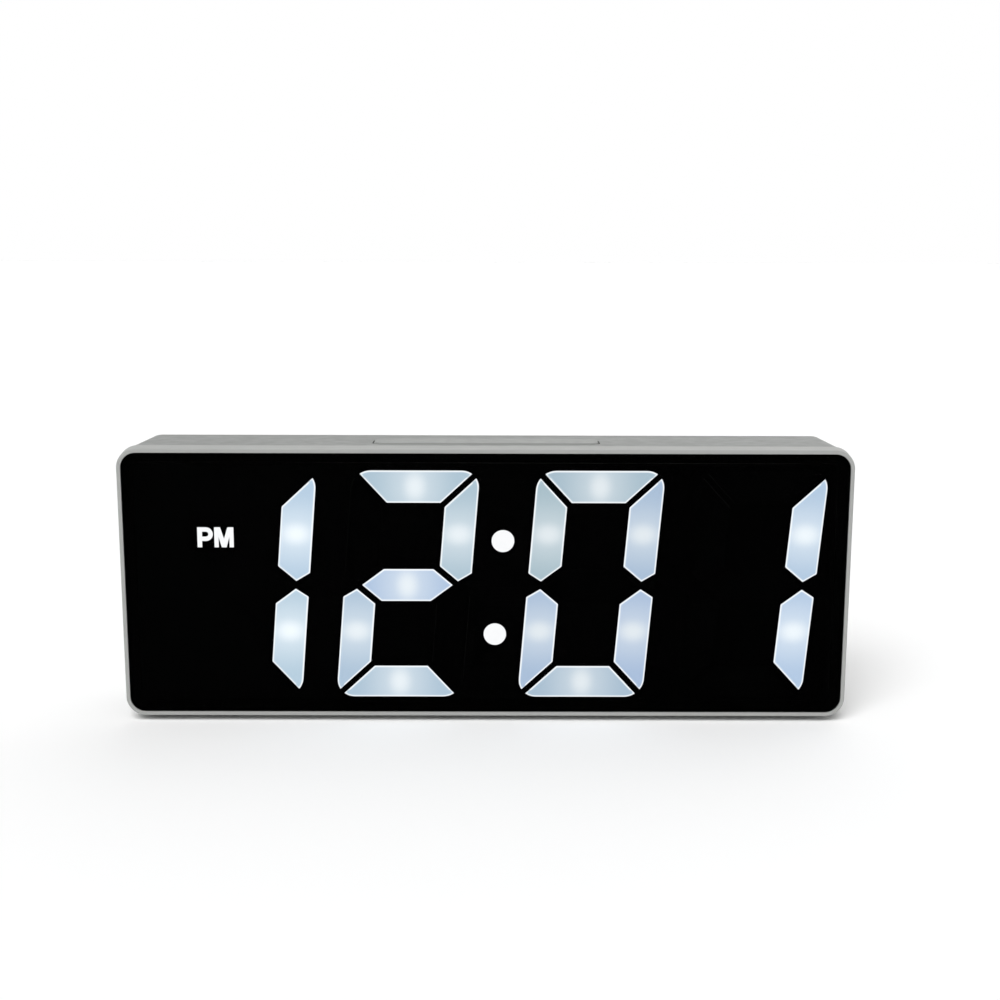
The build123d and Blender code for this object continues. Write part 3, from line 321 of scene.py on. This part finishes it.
def smoked(name):
    """Polished smoked acrylic: nearly black, lets a little light through, with faint wiping haze."""
    finish, tree, shader = new_finish(name)
    haze = cloud(tree, 30.0, 3.0, (1, 1, 3))
    fill(tree, shader, {
        "Base Color": tones(tree, haze, LENS_BLACK, LENS_HAZE),
        "Roughness": spread(tree, haze, 0.03, 0.07),
        "Specular IOR Level": LENS_SHINE,
        "Alpha": LENS_ALPHA,
    })
    return finish


def laminate(name):
    """Circuit board: solder mask over thin copper runs."""
    finish, tree, shader = new_finish(name)
    upright = add(tree, "Mapping", {"Vector": place(tree), "Rotation": (radians(90), 0, 0)}).outputs[0]
    runs = add(tree, "TexBrick", {
        "Vector": upright, "Scale": 1.0,
        "Mortar Size": RUN_W * MM, "Brick Width": RUN_L * MM, "Row Height": RUN_PITCH * MM,
    }).outputs["Fac"]
    fill(tree, shader, {
        "Base Color": tones(tree, runs, BOARD_GREEN, RUN_GREEN),
        "Roughness": spread(tree, cloud(tree, 4.0), 0.3, 0.42),
        "Normal": grain(tree, runs, RUN_DEPTH),
    })
    return finish


def lit_diffuser(name):
    """Milky segment: a white rim, a pale blue body and a bright soft spot over the lamp.

    Reads the piece's own attributes: lamp_way (millimetres along and across from the lamp), edge
    (millimetres in from the outline), bin (0 greener, 1 bluer) and level (0 dark, 1 full).
    """
    finish, tree, shader = new_finish(name)
    keys = ("lamp_way", "edge", "bin", "level")
    read = {key: add(tree, "Attribute", attribute_name=key) for key in keys}
    level = read["level"].outputs["Fac"]
    lamp_way = read["lamp_way"].outputs["Vector"]
    away = add(tree, "VectorMath", {0: lamp_way}, operation="LENGTH").outputs["Value"]
    spot = spread(tree, away, 1.0, 0.0, 0.0, SPOT_REACH, "SMOOTHERSTEP")
    glow = spread(tree, away, 1.0, 0.0, 0.0, GLOW_REACH, "SMOOTHSTEP")
    spot = maths(tree, "MULTIPLY", spot, SPOT_SHARE)
    glow = maths(tree, "MULTIPLY", glow, GLOW_SHARE)
    body = tones(tree, read["bin"].outputs["Fac"], BODY_GREENER, BODY_BLUER)
    bright = tones(tree, maths(tree, "ADD", spot, glow), body, SPOT_WHITE)
    dimmed = add(tree, "VectorMath", operation="SCALE")
    fill(tree, dimmed, {0: bright, "Scale": level})
    rim = spread(tree, read["edge"].outputs["Fac"], RIM_SHARE, 0.0, RIM_FULL, RIM_IN, "SMOOTHSTEP")
    lit = maths(tree, "MINIMUM", maths(tree, "MULTIPLY", level, RIM_GAIN), 1.0)
    shown = maths(tree, "MULTIPLY", rim, lit)
    fill(tree, shader, {
        "Base Color": tones(tree, cloud(tree, 2.0), UNLIT, UNLIT_PALER),
        "Roughness": spread(tree, cloud(tree, 0.6), 0.4, 0.5),
        "Specular IOR Level": DIFFUSER_SHINE,
        "Emission Color": tones(tree, shown, dimmed.outputs[0], RIM_WHITE),
        "Emission Strength": LAMP_POWER,
    })
    return finish


def lit_white(name):
    """Fully lit small window: an even white with a faint cloudiness."""
    finish, tree, shader = new_finish(name)
    fill(tree, shader, {
        "Base Color": tones(tree, cloud(tree, 1.0), UNLIT, UNLIT_PALER),
        "Roughness": 0.45,
        "Specular IOR Level": DIFFUSER_SHINE,
        "Emission Color": tones(tree, cloud(tree, 1.2), WINDOW_WHITE, WINDOW_WHITEST),
        "Emission Strength": LAMP_POWER,
    })
    return finish


def jacket(name):
    """Plain cells: a dark sleeve, a pale band towards one end and bare metal at both.

    The middle cell lies the other way round, so its band is at the other end.
    """
    finish, tree, shader = new_finish(name)
    low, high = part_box("battery_cells")
    middle = (low + high) / 2
    part = add(tree, "SeparateXYZ", {0: place(tree)})
    along = maths(tree, "SUBTRACT", part.outputs["X"], middle.x)
    height = maths(tree, "SUBTRACT", part.outputs["Z"], middle.z)
    inner = maths(tree, "LESS_THAN", maths(tree, "ABSOLUTE", height), MIDDLE_CELL * MM)
    turn = maths(tree, "SUBTRACT", 1.0, maths(tree, "MULTIPLY", inner, 2.0))
    band = maths(tree, "GREATER_THAN", maths(tree, "MULTIPLY", along, turn), BAND_FROM * MM)
    bare = maths(tree, "GREATER_THAN", maths(tree, "ABSOLUTE", along), SLEEVE_HALF * MM)
    fill(tree, shader, {
        "Base Color": tones(tree, bare, tones(tree, band, SLEEVE_BLUE, BAND_CREAM), CELL_METAL),
        "Metallic": bare,
        "Roughness": spread(tree, cloud(tree, 1.0), 0.25, 0.38),
    })
    return finish


def bezel_with_painted_shade(name):
    """The bezel's plastic, with painted shade: black on the ledge and walls that lie behind the lens.

    A point gets the painted shade if it is behind the lens's front and within its rounded outline, grown a
    little:
    past the straight sides by less than the corner's radius, measured as the root of both squares.
    """
    finish, tree, shader = new_finish(name)
    part = add(tree, "SeparateXYZ", {0: place(tree)})
    behind = maths(tree, "GREATER_THAN", part.outputs["Y"], lens_low.y + PAINTED_SHADE_IN * MM)
    height = maths(tree, "SUBTRACT", part.outputs["Z"], FACE_Z * MM)
    squares = []
    for way, half in ((part.outputs["X"], LENS_W / 2), (height, LENS_H / 2)):
        past = maths(tree, "SUBTRACT", maths(tree, "ABSOLUTE", way), (half - LENS_R) * MM)
        squares.append(maths(tree, "POWER", maths(tree, "MAXIMUM", past, 0.0), 2.0))
    distance = maths(tree, "SQRT", maths(tree, "ADD", *squares))
    within = maths(tree, "LESS_THAN", distance, (LENS_R + PAINTED_SHADE_OUT) * MM)
    # Painted shade: the bezel's ledge and walls behind the lens are turned black
    inside = maths(tree, "MULTIPLY", within, behind)
    drift = cloud(tree, DRIFT_SIZE)
    grey = tones(tree, drift, shaded(BEZEL_GREY, 1 - BEZEL_DRIFT), shaded(BEZEL_GREY, 1 + BEZEL_DRIFT))
    fill(tree, shader, {
        "Base Color": tones(tree, inside, grey, MASK_BLACK),
        "Roughness": spread(tree, cloud(tree, GLOSS_SIZE, 3.0), 0.36, 0.46),
        "Specular IOR Level": CASE_SHINE,
        "Normal": grain(tree, cloud(tree, GRAIN_SIZE, 1.0), BEZEL_GRAIN),
    })
    return finish


def reflector_plastic(name):
    """White reflector with a printed black front, so that only its cells are white."""
    finish, tree, shader = new_finish(name)
    part = add(tree, "SeparateXYZ", {0: place(tree)})
    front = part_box("reflector")[0].y
    printed = maths(tree, "LESS_THAN", part.outputs["Y"], front + PRINT_DEPTH * MM)
    white = tones(tree, cloud(tree, 9.0), (0.66, 0.66, 0.64), (0.74, 0.74, 0.72))
    fill(tree, shader, {
        "Base Color": tones(tree, printed, white, MASK_BLACK),
        "Roughness": spread(tree, cloud(tree, 2.0), 0.45, 0.6),
    })
    return finish


finishes = {
    "case_plastic": moulded("case_plastic", SHELL_GREY, 0.42, shine=CASE_SHINE),
    "bezel_with_painted_shade": bezel_with_painted_shade("bezel_with_painted_shade"),
    "cover_plastic": moulded("cover_plastic", SHELL_GREY, 0.5, shine=0.2, sparkle=0.3, depth=0.02),
    # The key's colour is the shell's grey lightened, a painted highlight
    "key_plastic": moulded("key_plastic", shaded(SHELL_GREY, KEY_PAINTED_HIGHLIGHT), 0.4, shine=CASE_SHINE),
    "smoked_lens": smoked("smoked_lens"),
    "lens_tape": moulded("lens_tape", MASK_BLACK, 0.8, shine=MASK_SHINE),
    "mask_black": moulded("mask_black", MASK_BLACK, 0.7, shine=MASK_SHINE),
    "reflector_white": reflector_plastic("reflector_white"),
    "milk_diffuser": lit_diffuser("milk_diffuser"),
    "milk_white": lit_white("milk_white"),
    "board_green": laminate("board_green"),
    "lamp_body": moulded("lamp_body", (0.8, 0.74, 0.42), 0.4),
    "chip_black": moulded("chip_black", (0.018, 0.018, 0.02), 0.55),
    "plunger_plastic": moulded("plunger_plastic", (0.6, 0.56, 0.48), 0.45),
    "can_metal": plated("can_metal", (0.62, 0.62, 0.63), 0.3, (1, 0.1, 1)),
    "screw_steel": plated("screw_steel", (0.46, 0.46, 0.48), 0.34),
    "contact_metal": plated("contact_metal", (0.66, 0.65, 0.62), 0.28, (1, 1, 0.1)),
    "cell_jacket": jacket("cell_jacket"),
    "lead_red": moulded("lead_red", (0.42, 0.02, 0.015), 0.45),
    "lead_black": moulded("lead_black", (0.015, 0.015, 0.016), 0.45),
    "foot_rubber": moulded("foot_rubber", (0.02, 0.02, 0.02), 0.85, shine=0.25, sparkle=0.4, depth=0.03),
}

# Every solid takes the finish of its material slot, and the bezel its own, which has painted shade behind
# the lens
for subpart in frame["record"]["subparts"]:
    for holder in nodes[subpart["node"]].material_slots:
        holder.material = finishes[subpart["material_slot"]]
for holder in nodes["front_bezel"].material_slots:
    holder.material = finishes["bezel_with_painted_shade"]


# Outlines of an upright digit's bars, about its middle

def corner_points(start, end):
    """Points of the digit's round corner, from one angle to another: centre plus radius by angle."""
    angle = np.radians(np.linspace(start, end, CORNER_POINTS))
    across = HALF_W - DIGIT_R * (1 - np.cos(angle))
    up = HALF_H - DIGIT_R * (1 - np.sin(angle))
    return np.stack([across, up], 1)


def turned(points, across, up):
    """Mirror an outline by signs and keep it running anticlockwise seen from the front."""
    mirrored = points * (across, up)
    return mirrored if across * up > 0 else mirrored[::-1]


def end_outline(up):
    """Top or bottom bar: a flat inner edge, mitred ends and the digit's round corners."""
    right = corner_points(45 + TIP_TURN, 90)
    foot = np.array([[HALF_W - STROKE - MITRE, HALF_H - STROKE]])
    return turned(np.concatenate([foot, right, right[::-1] * (-1, 1), foot * (-1, 1)]), 1, up)


def upright_outline(across, up):
    """One upright bar: a straight outer side, a round corner with a mitre, and a pointed waist."""
    inner = HALF_W - STROKE
    waist = [[HALF_W - KNEE, KNEE_Z], [HALF_W, KNEE_Z + KNEE * tan(radians(KNEE_OUT))]]
    inner_low = KNEE_Z + (STROKE - KNEE) * tan(radians(KNEE_IN))
    inside = [[inner, HALF_H - STROKE - MITRE], [inner, inner_low]]
    return turned(np.concatenate([waist, corner_points(0, 45 - TIP_TURN), inside]), across, up)


def middle_outline():
    """Middle bar: a hexagon whose points follow the uprights' waists."""
    tip = HALF_W - KNEE - KNEE_Z / tan(radians(KNEE_IN))
    half = MID_STROKE / 2
    flat = tip - half / tan(radians(KNEE_IN))
    return np.array([[tip, 0], [flat, half], [-flat, half], [-tip, 0], [-flat, -half], [flat, -half]])


def inset(outline, amount):
    """Move each corner of a closed outline inwards so that every side moves by the amount.

    A corner moves along the sum of its two sides' unit normals, over one plus their product.
    """
    side = np.roll(outline, -1, 0) - outline
    normal = np.stack([-side[:, 1], side[:, 0]], 1) / np.linalg.norm(side, axis=1, keepdims=True)
    before = np.roll(normal, 1, 0)
    return outline + amount * (before + normal) / (1 + (before * normal).sum(1, keepdims=True))


def leaned(points):
    """Slant points, each moving sideways by its height times the slope, and lower them to the display."""
    sideways = points[:, 1] * tan(radians(SLANT))
    return points + np.stack([sideways, np.full(len(points), -DISPLAY_DROP)], 1)


# Solids: corners in millimetres, and blocks of faces with the same number of sides

def diffuser(outline, lamp, upright_bar):
    """One diffuser: an inset and depth profile carried round its outline, closed by a point front and back.

    Rings run from the back edge over the rounded front edge and the white rim to the last ring, which
    meets the point over the lamp. Returns corners, faces and the attributes that the finish reads.
    """
    profile = np.array([
        (0.0, DIFFUSER_T), (0.0, EDGE_ROUND), (EDGE_ROUND, DIFFUSER_AIR), (RIM_FULL, DIFFUSER_AIR),
        (RIM_IN, DIFFUSER_AIR), (FAN_IN, DIFFUSER_AIR),
    ])
    rings = np.stack([inset(outline, DIFFUSER_FIT + step) for step in profile[:, 0]])
    count = len(outline)
    flat = np.concatenate([rings.reshape(-1, 2), [lamp, lamp]])
    depth = np.concatenate([np.repeat(profile[:, 1], count), [DIFFUSER_AIR, DIFFUSER_T]])
    edge = np.concatenate([np.repeat(profile[:, 0], count), [POLE_EDGE, POLE_EDGE]])
    front = np.concatenate([np.repeat(np.arange(len(profile)) > 0, count), [1.0, 0.0]])
    corners = np.stack([flat[:, 0], LENS_BACK + depth, FACE_Z + flat[:, 1]], 1)
    step = np.arange(count)
    after = np.roll(step, -1)
    row = np.arange(len(profile) - 1)[:, None] * count
    walls = np.stack([row + step, row + after, row + count + after, row + count + step], -1).reshape(-1, 4)
    last = (len(profile) - 1) * count
    pole = len(profile) * count
    fan = np.stack([last + step, last + after, np.full(count, pole)], 1)
    back = np.stack([after, step, np.full(count, pole + 1)], 1)
    offset = flat - lamp
    along, across = (1, 0) if upright_bar else (0, 1)
    way = np.stack([offset[:, along], offset[:, across] * ACROSS_SHARE, np.zeros_like(depth)], 1)
    return corners, [walls, fan, back], way, edge, front


def prism(outline, front, back):
    """A plate: one outline, anticlockwise from the front, carried from a front depth to a back depth."""
    count = len(outline)
    depth = LENS_BACK + np.repeat([front, back], count)
    corners = np.stack([np.tile(outline[:, 0], 2), depth, np.tile(outline[:, 1], 2) + FACE_Z], 1)
    step = np.arange(count)
    after = np.roll(step, -1)
    walls = np.stack([step + count, after + count, after, step], 1)
    return corners, [step[None], step[None, ::-1] + count, walls]


def join_solids(solids):
    """Stack several solids' corners, and move each one's face numbers on by the corners before it."""
    starts = np.cumsum([0] + [len(corners) for corners, _ in solids])
    faces = [block + start for start, (_, blocks) in zip(starts, solids) for block in blocks]
    return np.concatenate([corners for corners, _ in solids]), faces


def new_piece(name, body, slot, finish, corners, faces, attributes=()):
    """A mesh piece from a solid, riding on a body, with its own point attributes."""
    mesh = bpy.data.meshes.new(name)
    mesh.from_pydata((corners * MM).tolist(), [], sum((block.tolist() for block in faces), []))
    for key, kind, values in attributes:
        layer = mesh.attributes.new(key, kind, "POINT")
        field = "vector" if kind == "FLOAT_VECTOR" else "value"
        layer.data.foreach_set(field, np.ascontiguousarray(values, dtype=np.float32).ravel())
    mesh.materials.append(finishes[finish])
    mesh.update()
    made = bpy.data.objects.new(name, mesh)
    bpy.context.scene.collection.objects.link(made)
    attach(made, body)
    return made


# Each bar of a digit: its outline, the place of its bright spot, and whether it stands upright
SEGMENTS = {
    "a": (end_outline(1), (0, BAR), False),
    "b": (upright_outline(1, 1), (SIDE, SPOT_ABOVE), True),
    "c": (upright_outline(1, -1), (SIDE, -SPOT_BELOW), True),
    "d": (end_outline(-1), (0, -BAR), False),
    "e": (upright_outline(-1, -1), (-SIDE, -SPOT_BELOW), True),
    "f": (upright_outline(-1, 1), (-SIDE, SPOT_ABOVE), True),
    "g": (middle_outline(), (0, 0), False),
}

# Each digit: its middle, its diffusers, the lit ones with their lamps' bins, and how bright it runs
DIGITS = {
    "hour_tens_segments": (HOUR_TENS_X, "bc", {"b": 0.45, "c": 0.25}, 1.0),
    "hour_units_segments": (
        HOUR_UNITS_X, "abcdefg", {"a": 0.2, "b": 0.15, "g": 0.9, "e": 0.5, "d": 0.35}, 0.9,
    ),
    "minute_tens_segments": (
        MINUTE_TENS_X, "abcdefg", {"a": 0.15, "b": 0.7, "c": 0.95, "d": 0.4, "e": 0.8, "f": 0.0}, 0.84,
    ),
    "minute_units_segments": (MINUTE_UNITS_X, "abcdefg", {"b": 0.6, "c": 0.75}, 0.95),
}

for node, (middle, names, bins, level) in DIGITS.items():
    shift = np.array([middle, 0.0])
    solids, ways, edges, levels, tints = [], [], [], [], []
    for name in names:
        outline, lamp, upright_bar = SEGMENTS[name]
        spot = leaned(np.array([lamp], float))[0] + shift
        corners, faces, way, edge, front = diffuser(leaned(outline) + shift, spot, upright_bar)
        solids.append((corners, faces))
        ways.append(way)
        edges.append(edge)
        levels.append(front * (level if name in bins else 0.0))
        tints.append(np.full(len(edge), bins.get(name, 0.0)))
    corners, faces = join_solids(solids)
    made = new_piece(
        node.replace("_segments", "_digit"), "clock", "milk_diffuser", "milk_diffuser", corners, faces,
        [("lamp_way", "FLOAT_VECTOR", np.concatenate(ways)), ("edge", "FLOAT", np.concatenate(edges)),
         ("level", "FLOAT", np.concatenate(levels)), ("bin", "FLOAT", np.concatenate(tints))],
    )
    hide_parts(node)

# Colon: two round diffusers in line with the slant
round_turn = np.radians(np.linspace(0, 360, DOT_POINTS, endpoint=False))
circle = np.stack([np.cos(round_turn), np.sin(round_turn)], 1) * DOT_D / 2
dots = []
for height in (HALF_H - DOT_IN_TOP, DOT_IN_LOW - HALF_H):
    spot = leaned(np.array([[0.0, height]]))[0] + (DISPLAY_SHIFT, 0)
    dots.append(diffuser(circle + spot, spot, False)[:2])
colon = new_piece("colon", "clock", "milk_diffuser", "milk_white", *join_solids(dots))
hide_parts("colon_dots")


# Afternoon indicator: a black film over its diffuser with two clear letters

def letter_p(left, low):
    """Outline of a P: a stem and a half-round bowl, its counter opened by a hairline cut from the left."""
    top = low + LETTER_H
    half = P_BOWL / 2
    small = half - BOWL_STROKE
    bowl = np.array([left + P_W - half, top - half])
    sweep = np.radians(np.linspace(-90, 90, P_POINTS))
    arc = np.stack([np.cos(sweep), np.sin(sweep)], 1)
    stem = left + LETTER_STEM
    counter = stem + P_COUNTER_IN
    cut_top = bowl[1] + P_CUT
    cut_low = bowl[1] - P_CUT
    return np.concatenate([
        [[left, low], [stem, low], [stem, top - P_BOWL]], bowl + half * arc,
        [[left, top], [left, cut_top], [counter, cut_top], [counter, bowl[1] + small]],
        bowl + small * arc[::-1],
        [[counter, bowl[1] - small], [counter, cut_low], [left, cut_low]],
    ])


def letter_m(left, low):
    """Outline of an M: two stems and a V between them."""
    right = left + M_W
    top = low + LETTER_H
    middle = (left + right) / 2
    return np.array([
        [left, low], [left + M_STEM, low], [left + M_STEM, low + M_CROTCH], [middle - M_FOOT, low],
        [middle + M_FOOT, low], [right - M_STEM, low + M_CROTCH], [right - M_STEM, low], [right, low],
        [right, top], [right - M_SHOULDER, top], [middle, low + M_VALLEY], [left + M_SHOULDER, top],
        [left, top],
    ])


pm_low, pm_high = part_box("pm_window")
pm_left, pm_right = pm_low.x / MM, pm_high.x / MM
pm_foot, pm_top = pm_low.z / MM - FACE_Z, pm_high.z / MM - FACE_Z
window = np.array([[pm_left, pm_foot], [pm_right, pm_foot], [pm_right, pm_top], [pm_left, pm_top]])
film = new_piece("pm_film", "clock", "mask_black", "mask_black", *prism(window, FILM_T, DIFFUSER_T))
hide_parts("pm_window")
p_left = pm_left + LETTER_IN
m_left = p_left + P_W + LETTER_SPACE
letter_low = pm_foot + LETTER_UP
letters = join_solids([
    prism(letter_p(p_left, letter_low), FILM_T - LETTER_T, FILM_T),
    prism(letter_m(m_left, letter_low), FILM_T - LETTER_T, FILM_T),
])
new_piece("pm_letters", "clock", "milk_diffuser", "milk_white", *letters)


# Floor, light and camera

def seen_share(tree):
    """1 for rays from the camera, a mirror or glass, 0 for the rest."""
    path = add(tree, "LightPath").outputs
    sharp = maths(tree, "MAXIMUM", path["Is Glossy Ray"], path["Is Transmission Ray"])
    return maths(tree, "MAXIMUM", path["Is Camera Ray"], sharp)


def studio_floor():
    """Pale matt floor that looks white where it is lit, and keeps the clock's shadow."""
    finish, tree, shader = new_finish("studio_floor")
    drift = cloud(tree, FLOOR_DRIFT_SIZE)
    fill(tree, shader, {
        "Base Color": tones(tree, drift, shaded(FLOOR_TONE, FLOOR_DRIFT), FLOOR_TONE),
        "Roughness": 0.9,
        "Specular IOR Level": 0.0,
        "Emission Color": (1, 1, 1, 1),
        "Emission Strength": maths(tree, "MULTIPLY", seen_share(tree), FLOOR_LIFT),
    })
    return finish


def soft_sun(name, azimuth, elevation, strength, width):
    """A broad distant lamp, whose strength 1 lights a facing matt surface as its colour is written."""
    lamp = bpy.data.lights.new(name, "SUN")
    lamp.energy = strength * pi
    lamp.angle = radians(width)
    made = bpy.data.objects.new(name, lamp)
    bpy.context.scene.collection.objects.link(made)
    made.rotation_euler = (radians(90 - elevation), 0, radians(azimuth))


reach = np.array([[-1, -1], [1, -1], [1, 1], [-1, 1]]) * FLOOR_HALF
floor_mesh = bpy.data.meshes.new("floor")
floor_mesh.from_pydata(np.column_stack([reach, np.zeros(4)]).tolist(), [], [[0, 1, 2, 3]])
floor_mesh.materials.append(studio_floor())
floor = bpy.data.objects.new("floor", floor_mesh)
bpy.context.scene.collection.objects.link(floor)

world = bpy.data.worlds.new("studio")
bpy.context.scene.world = world
world.use_nodes = True
sky = world.node_tree
sky.nodes.clear()
brightness = maths(sky, "MAXIMUM", seen_share(sky), AMBIENT)
air = add(sky, "Background", {"Color": (1, 1, 1, 1), "Strength": brightness})
sky.links.new(air.outputs[0], add(sky, "OutputWorld").inputs["Surface"])

soft_sun("front_light", **FRONT_LIGHT)
soft_sun("rear_light", **REAR_LIGHT)

camera = bpy.data.cameras.new("camera")
camera.sensor_width = CAMERA_SENSOR
camera.lens = CAMERA_LENS
viewer = bpy.data.objects.new("camera", camera)
bpy.context.scene.collection.objects.link(viewer)
viewer.location = CAMERA_PLACE
viewer.rotation_euler = np.radians(CAMERA_TURN).tolist()
bpy.context.scene.camera = viewer

bpy.context.scene.view_settings.view_transform = "Standard"
